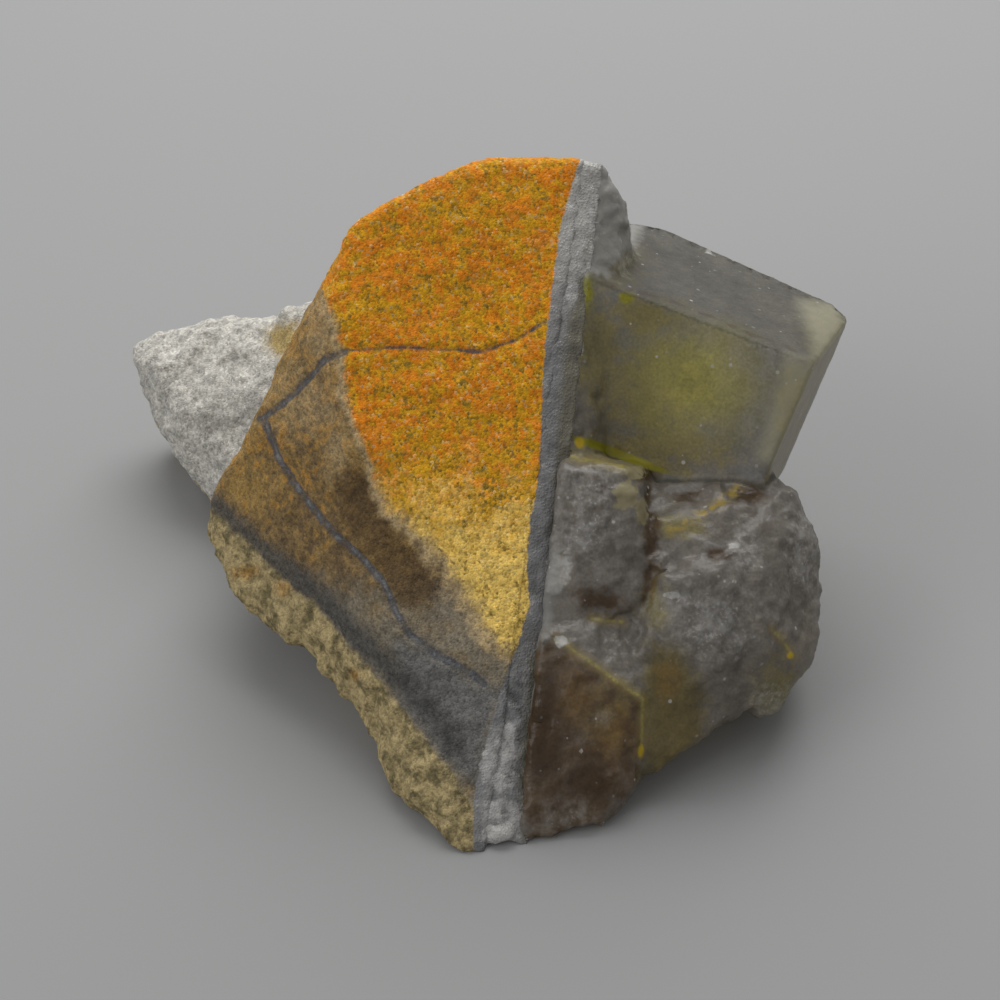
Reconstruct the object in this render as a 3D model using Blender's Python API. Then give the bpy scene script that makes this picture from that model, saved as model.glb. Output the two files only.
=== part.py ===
"""Zoned fluorite on a sandstone matrix: one hand specimen that rests on Z = 0.

The corners of the specimen are given as someone reads them off its front view, in millimetres:
across and up on the plane that the view is scaled on, and depth behind that plane. seen() turns
such a reading into a point in metres, with +Y to the back and +Z up. Everything is built from
the foot of that plane, and stands on the middle of its own foot at the end.
"""

import math

import bmesh
import bpy
from mathutils import Matrix, Vector, noise
from mathutils.geometry import intersect_line_plane, intersect_point_line

MM = 0.001

# The front view: how steeply it looks down, how far away it is and how high its middle lies
VIEW_TILT = math.radians(40)
VIEW_DISTANCE = 205
VIEW_MIDDLE = 26.1
# From the foot of the view plane to the middle of the specimen's foot
MIDDLE_OF_FOOT = Vector((-2.05, 25.95, 0.0))

VIEW_RIGHT = Vector((1, 0, 0))
VIEW_UP = Vector((0, math.sin(VIEW_TILT), math.cos(VIEW_TILT)))
VIEW_AWAY = Vector((0, math.cos(VIEW_TILT), -math.sin(VIEW_TILT)))

# Pieces that touch in the real specimen stand this far apart
GAP = 0.3
# The grain that the broken stone is modelled at, and the faces it is brought down to
STONE_GRAIN = 0.8
STONE_FACES = 4600
# How far the stone's surface wanders in front and where it broke, and how wide its swells are
FRONT_WANDER = 0.30
BROKEN_WANDER = 1.20
BROAD_SWELL = 7.0
FINE_SWELL = 2.3
FINE_SHIFT = Vector((31, 7, 19))

# Colour, roughness and clearness of each piece
SANDSTONE = ((0.33, 0.15, 0.02), 0.95, 0.0)
QUARTZ = ((0.20, 0.20, 0.20), 0.45, 0.0)
FLUORITE = ((0.16, 0.15, 0.06), 0.3, 0.5)
FLUORITE_IOR = 1.434


def seen(across, up, depth):
    """The point that the front view shows at (across, up), that far behind the view plane, in metres."""
    spread = (VIEW_DISTANCE + depth) / VIEW_DISTANCE
    point = VIEW_UP * VIEW_MIDDLE
    point += VIEW_RIGHT * across * spread + VIEW_UP * up * spread + VIEW_AWAY * depth
    return point * MM


def placed(x, y, z):
    """A point to the right of, behind and above the view plane's foot, for what the view hides."""
    return Vector((x, y, z)) * MM


def facing(right, up, toward):
    """A direction of the front view as a direction of the model."""
    return (VIEW_RIGHT * right + VIEW_UP * up - VIEW_AWAY * toward).normalized()


# Sandstone block with the quartz band and the foot of the crystals, as one broken lump
BLOCK = [
    # the top of the stained face, from the crystals to its left corner
    seen(9.4, 29.2, 4.4),
    seen(7.0, 30.2, 4.1),
    seen(1.7, 30.1, 4.0),
    seen(-2.1, 29.7, 4.0),
    seen(-6.3, 28.0, 3.6),
    seen(-9.8, 26.0, 3.3),
    seen(-13.0, 24.0, 3.0),
    seen(-13.6, 21.6, 2.7),
    seen(-15.0, 17.6, 2.0),
    # the ridge between the stained face and the brown one
    seen(-13.5, 8.7, 0.5),
    seen(-11.4, 3.2, -0.4),
    seen(-6.2, -4.0, -1.6),
    seen(-1.2, -11.7, -2.9),
    seen(1.2, -13.5, -3.2),
    # the left end of the brown face
    seen(-20.7, 7.0, 7.2),
    seen(-25.2, -0.1, 12.0),
    seen(-25.6, -2.6, 12.5),
    # the edge between the brown face and the tan one, and the tan one's lower edge to the tip
    seen(-17.4, -9.0, 7.0),
    seen(-8.7, -17.4, 0.8),
    seen(-2.6, -23.2, -3.2),
    seen(-24.0, -6.1, 11.2),
    seen(-20.0, -9.4, 8.6),
    seen(-8.5, -24.0, -0.2),
    seen(-8.2, -26.2, -1.4),
    seen(-6.7, -28.6, -3.2),
    seen(-3.8, -31.3, -5.0),
    seen(2.2, -30.3, -4.1),
    # the lobe beyond the band at the top, and the foot of the crystals
    seen(10.2, 27.6, 4.9),
    seen(11.0, 25.4, 5.5),
    seen(11.4, 23.4, 8.5),
    seen(6.4, 12.0, 2.4),
    seen(4.5, -26.0, -2.0),
    # the back and the foot
    placed(-12, 42, 32),
    placed(1, 47, 35),
    placed(10, 48, 32),
    placed(2, 52, 20),
    placed(-20, 44, 14),
    placed(-16, 53, 2),
    placed(-14, 50, -3),
    placed(11, 51, -3),
    placed(13, 49, 15),
    placed(-14.5, 30.5, -3),
    placed(9, 14, -3),
    placed(11, 33, 6),
]

# The pale broken lump at the back left, which is the same stone
SHELF = [
    seen(-32.4, 13.4, 31.0),
    seen(-30.4, 14.2, 32.5),
    seen(-26.1, 14.9, 34.0),
    seen(-22.2, 15.4, 34.0),
    seen(-17.4, 16.2, 28.0),
    seen(-30.7, 7.7, 29.5),
    seen(-27.5, 2.6, 28.5),
    seen(-25.7, -0.4, 27.5),
    seen(-21.7, 1.7, 21.0),
    placed(-33, 49, -3),
    placed(-15, 53, -3),
    placed(-15, 56, 10),
    placed(-13, 42, 16),
    placed(-17, 38, -3),
]

# The small knob under the left end of the tan edge
KNOB = [
    seen(-24.5, -5.0, 10.5),
    seen(-23.3, -8.9, 9.0),
    seen(-20.9, -9.2, 8.4),
    seen(-19.0, -7.6, 8.0),
    seen(-21.0, -4.5, 9.0),
    seen(-21.5, -6.5, 15.0),
]

# Ledges that stand out where the back broke
LEDGES = {
    "upper": (placed(-3, 52, 24), 0.35, (13, 7, 9)),
    "lower": (placed(2, 52.5, 9), -0.25, (15, 8, 9)),
    "left": (placed(-17, 51, 12), 0.60, (10, 6, 9)),
}

# Shallow hollows in the stone: from one end to the other, how far they reach and how deep they are
HOLLOWS = [
    # below the ridge of the brown face
    (seen(-11.0, 0.5, 0.6), seen(-4.5, -9.5, -1.5), 4.6, 1.3),
    # the middle of the tan edge
    (seen(-16.5, -14.0, 6.0), seen(-10.5, -20.8, 1.6), 4.2, 1.3),
    # the foot of the pale lump's front
    (seen(-24.5, 3.0, 22.0), seen(-21.0, 9.0, 20.0), 4.0, 1.2),
]

# The wall that the crystals grew on runs back from the front, bearing a little to the right. The
# quartz band lies between its two planes, each through a top and a bottom point of the front.
WALL_RUN = Vector((0.12, 1, 0))
BAND_INNER = (seen(7.0, 30.0, 4.1), seen(-1.9, -31.3, -5.0))
BAND_OUTER = (seen(8.7, 30.0, 4.4), seen(1.8, -31.3, -4.0))

# The big cube: the ends of its front top edge, how far down its front right edge shows, its far
# right corner, and the readings along its worn far edge
BIG_LEFT = seen(9.0, 18.9, 2.2)
BIG_RIGHT = seen(27.4, 11.8, 1.0)
BIG_FOOT = seen(23.7, 3.2, 3.0)
BIG_FAR = seen(30.4, 15.8, 15.1)
BIG_FAR_EDGE = [(29.1, 17.1), (14.3, 23.7), (11.5, 24.3)]
# How far its edges run on, as a share of what shows of them: into the wall and down
BIG_REACH = 1.45
BIG_DROP = 1.7

# Smaller cubes: the top right corner of the front face, the way its top edge runs to the right,
# the way its top faces, and its length, height and depth
CUBES = {
    "rear_high": (placed(21, 34, 25), facing(0.94, 0.30, -0.15), facing(-0.25, 0.85, 0.45), (18, 13, 12)),
    "rear_low": (placed(22, 36, 14), facing(0.97, -0.10, 0.20), facing(0.20, 0.80, 0.55), (17, 12, 13)),
    "rear_small": (placed(20, 46, 21), facing(0.90, 0.10, -0.42), facing(-0.10, 0.90, 0.42), (10, 8, 8)),
    "rear_crown": (placed(12, 48, 26.5), facing(0.85, -0.25, 0.46), facing(0.30, 0.92, 0.20), (9, 7, 7)),
    "rear_foot": (placed(17, 48, 9), facing(0.96, 0.05, -0.25), facing(0.05, 0.85, 0.52), (11, 9, 8)),
    "side_low": (placed(26, 29, 12), facing(0.88, 0.12, -0.35), facing(-0.10, 0.88, 0.40), (10, 9, 9)),
}

# Crystals with broken and cleaved faces, as the lumps around their corners
BROKEN = {
    "middle": [
        seen(5.0, 3.4, -0.9),
        seen(9.6, 3.2, -1.5),
        seen(11.3, 2.7, -1.4),
        seen(12.4, 0.6, -0.9),
        seen(12.7, -4.0, -1.3),
        seen(12.4, -8.6, -1.9),
        seen(11.0, -10.4, -2.0),
        seen(8.4, -2.6, -2.5),
        seen(7.6, -7.4, -2.7),
        seen(4.6, -10.8, -2.4),
        seen(3.0, 3.2, 3.0),
        seen(1.0, -10.0, 3.0),
        seen(13.6, 3.4, 9.0),
        seen(12.6, -9.5, 8.0),
    ],
    "right_upper": [
        seen(13.4, 1.2, 4.0),
        seen(16.5, 2.6, 5.5),
        seen(20.4, 2.3, 4.6),
        seen(24.8, 2.1, 6.0),
        seen(13.1, -2.0, -0.2),
        seen(17.5, -1.2, 0.2),
        seen(21.5, -0.6, 0.2),
        seen(13.0, -6.4, -1.4),
        seen(17.0, -6.2, -2.2),
        seen(21.2, -4.8, -1.9),
        seen(24.4, -3.6, -0.6),
        seen(25.2, -8.7, -0.4),
        seen(24.5, -5.0, 16.0),
        seen(12.0, -12.0, 2.0),
        seen(10.0, 0.0, 14.0),
    ],
    "right_lower": [
        seen(12.9, -7.6, -1.9),
        seen(14.3, -6.5, -2.8),
        seen(16.9, -6.3, -3.3),
        seen(19.1, -5.5, -3.1),
        seen(21.0, -4.7, -2.4),
        seen(23.3, -6.8, -1.8),
        seen(24.6, -10.2, -1.5),
        seen(25.7, -13.9, 0.5),
        seen(23.5, -16.5, 1.0),
        seen(19.4, -12.4, -3.4),
        seen(15.6, -11.8, -3.6),
        seen(21.0, -18.4, 1.0),
        seen(17.4, -21.0, 0.8),
        seen(13.0, -23.6, -0.5),
        seen(12.0, -25.1, -1.5),
        seen(12.2, -13.2, -2.8),
        seen(24.5, -8.0, 14.0),
        seen(16.0, -16.0, 11.0),
        seen(10.0, -4.0, 12.0),
        seen(8.0, -20.0, 6.0),
    ],
    "rim": [
        seen(24.8, 2.2, 5.0),
        seen(25.8, -0.3, 3.5),
        seen(27.0, -2.0, 3.0),
        seen(27.7, -3.7, 3.0),
        seen(27.9, -5.6, 3.0),
        seen(27.8, -12.2, 3.0),
        seen(27.4, -14.3, 3.2),
        seen(26.6, -15.3, 3.5),
        seen(25.8, -15.3, 3.5),
        seen(23.0, -1.7, -0.3),
        seen(23.5, -11.1, -1.2),
        seen(25.9, -14.1, 0.8),
        seen(26.0, -1.7, 12.0),
        seen(26.6, -12.2, 12.0),
        seen(22.0, -8.7, 14.0),
    ],
    "lobe": [
        seen(23.3, -11.5, -0.8),
        seen(25.8, -15.5, 2.0),
        seen(25.5, -16.7, 2.2),
        seen(24.8, -17.8, 2.2),
        seen(23.9, -18.8, 2.2),
        seen(22.8, -19.5, 2.5),
        seen(22.1, -19.0, 2.3),
        seen(21.4, -18.5, 2.0),
        seen(20.4, -16.5, 0.2),
        seen(21.3, -13.0, -1.0),
        seen(23.5, -16.5, 10.0),
        seen(21.7, -17.4, 9.0),
        seen(25.2, -14.8, 10.0),
    ],
    "front": [
        seen(4.6, -11.7, -4.6),
        seen(12.6, -17.2, -4.2),
        seen(11.9, -25.2, -3.2),
        seen(9.7, -28.3, -3.0),
        seen(8.9, -28.9, -2.9),
        seen(5.2, -29.2, -3.2),
        seen(2.1, -30.3, -4.0),
        seen(2.3, -17.4, -4.7),
        seen(2.8, -13.5, -4.7),
        seen(6.5, -10.1, 0.5),
        seen(12.9, -9.7, 0.5),
        seen(10.0, -22.0, 7.0),
        seen(0.0, -20.0, 4.0),
        seen(0.0, -12.0, 2.0),
    ],
}


def sighted(across, up, corners):
    """The point that the front view shows at (across, up) on the plane through three corners."""
    first, second, third = corners
    eye = (VIEW_UP * VIEW_MIDDLE - VIEW_AWAY * VIEW_DISTANCE) * MM
    normal = (second - first).cross(third - first)
    return intersect_line_plane(eye, seen(across, up, 0), first, normal)


def big_cube():
    """The big cube, whose flat top ends at its worn far edge, from the wall to its right side."""
    top = (BIG_LEFT, BIG_RIGHT, BIG_FAR)
    far_edge = [sighted(across, up, top) for across, up in BIG_FAR_EDGE]
    inward = (BIG_LEFT - BIG_RIGHT) * BIG_REACH
    corners = [BIG_RIGHT, BIG_RIGHT + inward, BIG_FAR, BIG_FAR + inward]
    down = (BIG_FOOT - BIG_RIGHT) * BIG_DROP
    return hull("big_cube", corners + far_edge + [corner + down for corner in corners])


def object_from(name, bm):
    """A new object that holds this mesh."""
    bmesh.ops.recalc_face_normals(bm, faces=bm.faces[:])
    mesh = bpy.data.meshes.new(name)
    bm.to_mesh(mesh)
    bm.free()
    made = bpy.data.objects.new(name, mesh)
    bpy.context.scene.collection.objects.link(made)
    return made


def hull(name, points):
    """The closed flat-faced lump around these points."""
    bm = bmesh.new()
    for point in points:
        bm.verts.new(point)
    bmesh.ops.convex_hull(bm, input=bm.verts[:])
    loose = [v for v in bm.verts if not v.link_faces]
    bmesh.ops.delete(bm, geom=loose, context="VERTS")
    return object_from(name, bm)


def cuboid(name, corner, along, rise, size):
    """A box from its top right front corner, its edge to the right, its top's facing and its size."""
    rise = (rise - along * rise.dot(along)).normalized()
    back = rise.cross(along)
    length, height, depth = (side * MM for side in size)
    middle = corner - along * length / 2 - rise * height / 2 + back * depth / 2
    axes = Matrix((along * length, back * depth, rise * height)).transposed().to_4x4()
    bm = bmesh.new()
    bmesh.ops.create_cube(bm, size=1, matrix=Matrix.Translation(middle) @ axes)
    return object_from(name, bm)


def settle(target):
    """Turns what an object's modifiers make into its own mesh."""
    bpy.context.view_layer.update()
    shown = target.evaluated_get(bpy.context.evaluated_depsgraph_get())
    mesh = bpy.data.meshes.new_from_object(shown)
    target.modifiers.clear()
    target.data = mesh


def turned_block(name, middle, turn, size):
    """A box around its middle, turned about the upright by so many radians and tipped half as far."""
    bm = bmesh.new()
    shape = Matrix.Diagonal((*(side * MM for side in size), 1))
    place = Matrix.Translation(middle) @ Matrix.Rotation(turn, 4, "Z") @ Matrix.Rotation(turn / 2, 4, "X")
    bmesh.ops.create_cube(bm, size=1, matrix=place @ shape)
    return object_from(name, bm)


def combine(target, other):
    """Adds the other object to the target and removes it."""
    change = target.modifiers.new("Union", "BOOLEAN")
    change.operation = "UNION"
    change.object = other
    settle(target)
    bpy.data.objects.remove(other)


def wall_plane(ends, beyond):
    """A plane of the wall through two points of the front, moved to the right by beyond millimetres."""
    top, bottom = ends
    normal = (bottom - top).cross(WALL_RUN).normalized()
    if normal.x < 0:
        normal.negate()
    return top + normal * beyond * MM, normal


def keep_side(target, point, normal):
    """Cuts the target at a plane and keeps what lies against the normal."""
    bm = bmesh.new()
    bm.from_mesh(target.data)
    everything = bm.verts[:] + bm.edges[:] + bm.faces[:]
    bmesh.ops.bisect_plane(
        bm, geom=everything, dist=1e-7, plane_co=point, plane_no=normal, clear_outer=True
    )
    rim = [e for e in bm.edges if e.is_boundary]
    cap = bmesh.ops.triangle_fill(bm, edges=rim, use_beauty=True)
    assert cap["geom"], "the plane missed the stone"
    bmesh.ops.recalc_face_normals(bm, faces=bm.faces[:])
    bm.to_mesh(target.data)
    bm.free()


def copy_of(name, source):
    """A second object with its own copy of a mesh."""
    made = bpy.data.objects.new(name, source.data.copy())
    bpy.context.scene.collection.objects.link(made)
    return made


def fade(low, high, value):
    """0 below low, 1 above high and smooth between them."""
    share = min(1.0, max(0.0, (value - low) / (high - low)))
    return share * share * (3 - 2 * share)


def roughness_at(point, normal):
    """How far the stone's surface wanders here, in millimetres: little in front, more where it broke."""
    away = fade(-0.2, 0.5, normal.dot(VIEW_AWAY))
    on_shelf = fade(17.0, 23.0, -point.x) * fade(26.0, 34.0, point.y)
    return FRONT_WANDER + (BROKEN_WANDER - FRONT_WANDER) * max(away, on_shelf)


def hollow_at(place):
    """How deep the hollows are at this point of the stone, in millimetres."""
    deepest = 0.0
    for start, end, reach, depth in HOLLOWS:
        nearest, share = intersect_point_line(place, start, end)
        if share < 0:
            nearest = start
        elif share > 1:
            nearest = end
        distance = (place - nearest).length / MM
        deepest = max(deepest, depth * (1 - fade(0, reach, distance)))
    return deepest


def roughen(stone):
    """Moves the stone's points in and out by smooth noise at two scales."""
    mesh = stone.data
    moved = []
    for vertex in mesh.vertices:
        point = vertex.co / MM
        wander = roughness_at(point, vertex.normal)
        broad = noise.noise(point / BROAD_SWELL)
        fine = noise.noise(point / FINE_SWELL + FINE_SHIFT)
        step = wander * (0.9 * broad + 0.7 * fine) - hollow_at(vertex.co)
        moved.append(vertex.co + vertex.normal * step * MM)
    for vertex, place in zip(mesh.vertices, moved):
        vertex.co = place


def broken_stone():
    """The whole lump of stone, rough and closed, before it is parted at the wall's planes."""
    stone = hull("stone", BLOCK)
    combine(stone, hull("shelf", SHELF))
    combine(stone, hull("knob", KNOB))
    for name, values in LEDGES.items():
        combine(stone, turned_block(name, *values))
    remesh = stone.modifiers.new("Grain", "REMESH")
    remesh.mode = "VOXEL"
    remesh.voxel_size = STONE_GRAIN * MM
    settle(stone)
    roughen(stone)
    bm = bmesh.new()
    bm.from_mesh(stone.data)
    triangles = sum(len(face.verts) - 2 for face in bm.faces)
    bm.free()
    fewer = stone.modifiers.new("Fewer faces", "DECIMATE")
    fewer.ratio = STONE_FACES / triangles
    settle(stone)
    return stone


def finish(target, look):
    """One plain material for a piece."""
    colour, roughness, clear = look
    material = bpy.data.materials.new(target.name)
    material.use_nodes = True
    shader = material.node_tree.nodes["Principled BSDF"]
    shader.inputs["Base Color"].default_value = (*colour, 1)
    shader.inputs["Roughness"].default_value = roughness
    shader.inputs["Transmission Weight"].default_value = clear
    shader.inputs["IOR"].default_value = FLUORITE_IOR
    target.data.materials.clear()
    target.data.materials.append(material)
    target.data.shade_flat()


def build():
    """The three pieces: the sandstone, the quartz band on its right wall and the crystals on that."""
    floor = (Vector((0, 0, 0)), Vector((0, 0, -1)))
    inner, to_right = wall_plane(BAND_INNER, 0)
    band_start = wall_plane(BAND_INNER, GAP)
    outer, outward = wall_plane(BAND_OUTER, 0)
    crystal_start = wall_plane(BAND_OUTER, GAP)

    matrix = broken_stone()
    matrix.name = "sandstone_matrix"
    band = copy_of("quartz_band", matrix)
    crystals = copy_of("fluorite_crystals", matrix)
    combine(crystals, big_cube())
    for name, values in CUBES.items():
        combine(crystals, cuboid(name, *values))
    for name, corners in BROKEN.items():
        combine(crystals, hull(name, corners))

    keep_side(matrix, inner, to_right)
    keep_side(band, band_start[0], -band_start[1])
    keep_side(band, outer, outward)
    keep_side(crystals, crystal_start[0], -crystal_start[1])
    for piece in (matrix, band, crystals):
        keep_side(piece, *floor)
        piece.data.transform(Matrix.Translation(-MIDDLE_OF_FOOT * MM))

    finish(matrix, SANDSTONE)
    finish(band, QUARTZ)
    finish(crystals, FLUORITE)


for old in list(bpy.data.objects):
    bpy.data.objects.remove(old)
build()
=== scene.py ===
"""The looks of the zoned fluorite on sandstone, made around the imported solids.

What the front view shows is placed by readings, in millimetres: how far to the right of and above
the middle of the plane that the view is scaled on. Depth is millimetres behind that plane.
"""

import math
from collections import namedtuple

import bmesh
import bpy
import numpy as np
from mathutils import Matrix, Vector, noise
from mathutils.bvhtree import BVHTree


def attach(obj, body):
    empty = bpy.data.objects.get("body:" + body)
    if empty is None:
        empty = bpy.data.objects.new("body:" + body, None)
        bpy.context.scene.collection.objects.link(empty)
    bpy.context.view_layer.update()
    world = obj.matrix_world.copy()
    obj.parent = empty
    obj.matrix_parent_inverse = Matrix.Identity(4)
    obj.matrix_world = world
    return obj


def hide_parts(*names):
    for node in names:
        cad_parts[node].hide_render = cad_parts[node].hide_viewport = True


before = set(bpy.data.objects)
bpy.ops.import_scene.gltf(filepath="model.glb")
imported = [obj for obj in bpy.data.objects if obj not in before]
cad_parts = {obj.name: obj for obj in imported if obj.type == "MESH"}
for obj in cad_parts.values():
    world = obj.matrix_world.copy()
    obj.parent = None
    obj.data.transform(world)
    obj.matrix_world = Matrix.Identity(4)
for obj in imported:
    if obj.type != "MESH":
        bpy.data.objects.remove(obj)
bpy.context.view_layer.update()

MM = 0.001

# The front view, and the way from the foot of its plane to the middle of the specimen's foot
VIEW_TILT = math.radians(40)
VIEW_DISTANCE = 205.0
VIEW_MIDDLE = 26.1
MIDDLE_OF_FOOT = np.array((-2.05, 25.95, 0.0))
VIEW_RIGHT = np.array((1.0, 0.0, 0.0))
VIEW_UP = np.array((0.0, math.sin(VIEW_TILT), math.cos(VIEW_TILT)))
VIEW_AWAY = np.array((0.0, math.cos(VIEW_TILT), -math.sin(VIEW_TILT)))
# The picture's width and scale in pixels, the millimetres that the view takes in, and the sensor
PICTURE_WIDTH = 1000
PIXELS_PER_MM = 11.5
VIEW_SPAN = PICTURE_WIDTH / PIXELS_PER_MM
SENSOR = 36.0

# Cell sizes of the fine meshes, in millimetres
STONE_CELL = 0.31
BAND_CELL = 0.26
CRYSTAL_CELL = 0.305
# How far each piece is drawn out over the gap to its neighbour, and over what length it stretches
SEAM_REACH = 0.45
SEAM_LENGTH = 1.6
# How far a facet may move a point, in millimetres, and the seed of the facets' tilts
FACET_REACH = 0.6
FACET_SEED = 7
# How far off the surface, in millimetres, the look back to the eye starts
SIGHT_STEP = 0.3
# The crystals' edges are shaded as edges where they bend by more than this many degrees
SHARP_EDGE = 40

# The wall's two planes, each through a top and a bottom reading, and the way that they run back
WALL_RUN = np.array((0.12, 1.0, 0.0))
BAND_INNER = ((7.0, 30.0, 4.1), (-1.9, -31.3, -5.0))
BAND_OUTER = ((8.7, 30.0, 4.4), (1.8, -31.3, -4.0))

# Lines of the stone's front, as readings from one end to the other
RIDGE = [
    (-15.2, 17.4), (-14.5, 15.2), (-13.9, 13.0), (-13.5, 8.7), (-11.5, 3.2), (-10.1, -0.6),
    (-6.2, -4.0), (-2.9, -8.4), (-1.2, -11.7), (1.0, -13.4),
]
STAIN_EDGE = [
    (7.2, 30.4), (6.8, 29.1), (6.1, 27.0), (5.2, 23.5), (4.5, 18.3), (3.9, 13.5), (3.7, 8.7),
    (3.5, 4.3), (3.3, 1.7), (2.6, -1.7), (2.3, -6.1), (2.6, -9.1), (1.7, -12.2), (0.9, -14.3),
    (-0.2, -17.4), (-0.9, -20.0), (-1.7, -22.6), (-2.3, -26.1), (-2.3, -31.3),
]
BAND_EDGE = [
    (9.0, 30.4), (8.5, 26.1), (7.8, 22.6), (6.7, 18.3), (5.8, 14.8), (5.2, 8.7), (4.8, 2.6),
    (4.5, -2.6), (4.9, -7.0), (4.7, -10.9), (2.6, -13.9), (2.4, -17.4), (1.9, -20.9),
    (1.7, -26.1), (2.4, -30.4),
]
VEIN = [
    (-20.5, 6.9), (-19.5, 4.1), (-18.1, 1.6), (-15.9, -1.2), (-14.0, -3.4), (-12.0, -5.1),
    (-10.1, -7.3), (-9.2, -9.6), (-7.8, -11.7), (-5.7, -13.4), (-2.9, -14.8), (-1.5, -15.9),
]
BRANCH = [(-21.0, 7.0), (-18.7, 8.6), (-16.9, 10.4), (-15.3, 12.2), (-13.2, 13.0)]
THREAD = [(-13.5, 13.0), (-8.7, 13.3), (-2.6, 13.0), (-1.7, 12.9), (1.3, 13.9), (3.9, 15.5)]
DARK_BAND = [
    (-24.9, -0.4), (-21.7, -3.5), (-18.3, -6.3), (-15.5, -8.5), (-13.5, -10.9), (-11.3, -13.0),
    (-9.1, -15.0), (-6.5, -17.8), (-3.9, -21.3),
]
LOW_GREY = [
    (-9.1, -12.2), (-5.2, -13.5), (-1.7, -15.7), (0.0, -16.5), (-0.9, -20.9), (-1.7, -25.2),
    (-3.9, -23.5), (-6.1, -20.9), (-8.7, -17.8),
]
TAN_EDGE = [
    (-27.0, 0.9), (-24.2, -1.7), (-21.4, -4.3), (-18.8, -6.9), (-16.4, -8.8), (-14.5, -11.1),
    (-12.3, -13.7), (-9.9, -16.3), (-8.0, -18.8), (-6.1, -21.4), (-4.7, -23.0), (-3.5, -24.6),
    (-2.6, -26.7), (-2.2, -28.4), (-2.4, -31.3),
]
VEIN_WIDTH, BRANCH_WIDTH, THREAD_WIDTH, DARK_WIDTH = 0.70, 0.60, 0.24, 2.2
# The depth from which the stone is pale and freshly broken
BROKEN_DEPTH = 17.0
# The steep stretch below the ridge, along which shade is painted into the brown face
PAINTED_SHADE_LINE = [(-12.4, 0.6), (-10.6, -3.4), (-8.6, -6.0), (-7.6, -7.4)]

# The big cube, as in the solid: the ends of its front top edge, the foot of its front right edge
# and its far right corner, as readings with a depth
BIG_LEFT = (9.0, 18.9, 2.2)
BIG_RIGHT = (27.4, 11.8, 1.0)
BIG_FOOT = (23.7, 3.2, 3.0)
BIG_FAR = (30.4, 15.8, 15.1)
# The middle of its green core
CORE = (17.3, 10.5, 2.5)

# Lines of the crystals' front
CUBE_TOP_EDGE = [(9.0, 18.9), (15.9, 17.0), (22.3, 14.2), (25.0, 13.3), (26.5, 12.3), (27.4, 11.8)]
CUBE_SIDE_EDGE = [(27.9, 11.4), (26.8, 8.9), (25.5, 6.0), (24.3, 3.0)]
PALE_STRIP = [(25.9, 17.3), (27.2, 13.6), (27.4, 11.8), (28.6, 11.5), (30.6, 15.8), (29.3, 17.4)]
SIDE_STRIP = [(24.9, 12.6), (27.4, 11.8), (27.8, 10.9), (24.6, 2.6), (22.3, 3.6)]
SLIVER = [
    (6.0, 5.6), (7.9, 5.3), (9.9, 4.6), (12.6, 3.5), (15.9, 2.0), (12.2, 2.8), (9.3, 4.0), (6.6, 5.0),
]
FRONT_FACE = [
    (2.4, -13.2), (4.7, -12.2), (12.3, -17.4), (12.2, -24.0), (9.7, -28.6), (2.1, -30.6), (1.9, -20.0),
]
OLIVE_FACE = [
    (12.7, -17.4), (12.9, -12.4), (15.4, -12.8), (17.8, -16.6), (17.2, -20.4), (12.2, -26.0),
]
LOBE = [(8.6, 31.0), (13.0, 25.0), (11.8, 22.4), (9.4, 19.6), (7.4, 19.4)]
FAR_EDGE = [(30.4, 15.8), (29.1, 17.1), (24.0, 19.4), (19.0, 21.6), (14.3, 23.7), (11.5, 24.3)]
STREAK = [(15.0, -2.6), (16.5, -1.8), (18.1, -1.0), (19.5, -0.1), (20.7, 1.0)]
# A crease between the crystals, cut in as a groove and painted with shade along it
CREASE = [(13.0, 1.0), (12.9, -1.6), (13.3, -4.2), (12.9, -7.2), (12.4, -9.0)]
# Lines along the crystals' edges and a crack, where light through them is painted on as pale yellow
PAINTED_LIGHT_LINES = [
    # the top of the middle crystal
    [(5.6, 3.6), (7.4, 3.5), (9.6, 3.1), (11.3, 2.7)],
    # the right edge of the front crystal's top face, and the fall from it
    [(4.9, -12.0), (6.5, -13.2), (8.7, -14.7), (10.6, -16.1), (12.4, -17.3)],
    [(12.4, -17.3), (12.3, -19.6), (12.2, -21.9)],
    # a bent line above that face
    [(8.0, -10.3), (9.0, -10.5), (10.6, -10.6)],
    # the crack beside the rim
    [(23.6, -11.2), (24.7, -12.4), (25.5, -13.7)],
]

# Patches, each a reading and how far it reaches across and up
ROCK_WHITE = [
    (6.3, 18.0, 0.5, 1.2), (7.9, 25.0, 0.3, 1.6), (-0.2, -22.8, 1.4, 2.4), (0.6, -20.2, 0.7, 0.8),
    (0.2, -28.2, 1.9, 2.2), (5.0, -6.0, 0.9, 1.5), (4.7, -7.4, 0.6, 0.8), (5.0, -12.4, 0.5, 0.8),
]
YELLOW_PATCH = [(-18.7, 13.9, 1.6, 1.5)]
PALE_DARKS = [(-30.4, 11.7, 1.2, 0.9), (-24.8, 7.0, 1.4, 1.2), (-21.5, 8.5, 0.8, 1.2)]
BEIGES = [(-17.2, 8.6, 2.8, 2.6), (-15.4, 14.4, 1.4, 3.4), (-14.2, 4.2, 1.0, 2.6)]
TAN_ORANGES = [(-22.2, -6.3, 0.9, 0.5), (-18.8, -7.6, 0.7, 0.5), (-12.5, -15.2, 0.5, 0.4)]
CRYSTAL_WHITE = [
    (5.3, -6.0, 0.9, 1.5), (4.9, -7.4, 0.6, 0.8), (5.3, -12.3, 0.6, 0.5), (2.4, -18.9, 0.18, 0.2),
    (7.0, -21.8, 0.2, 0.22), (15.0, -8.3, 0.8, 0.3), (18.4, 21.6, 0.6, 0.25), (20.4, -4.0, 0.6, 0.3),
    (6.4, 18.3, 1.0, 1.6), (6.9, 13.2, 0.4, 0.8),
]
CRUMBS = [(10.9, 0.4, 1.0, 1.2), (11.7, 2.4, 1.0, 0.6), (12.4, -1.0, 0.6, 1.2)]
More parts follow.
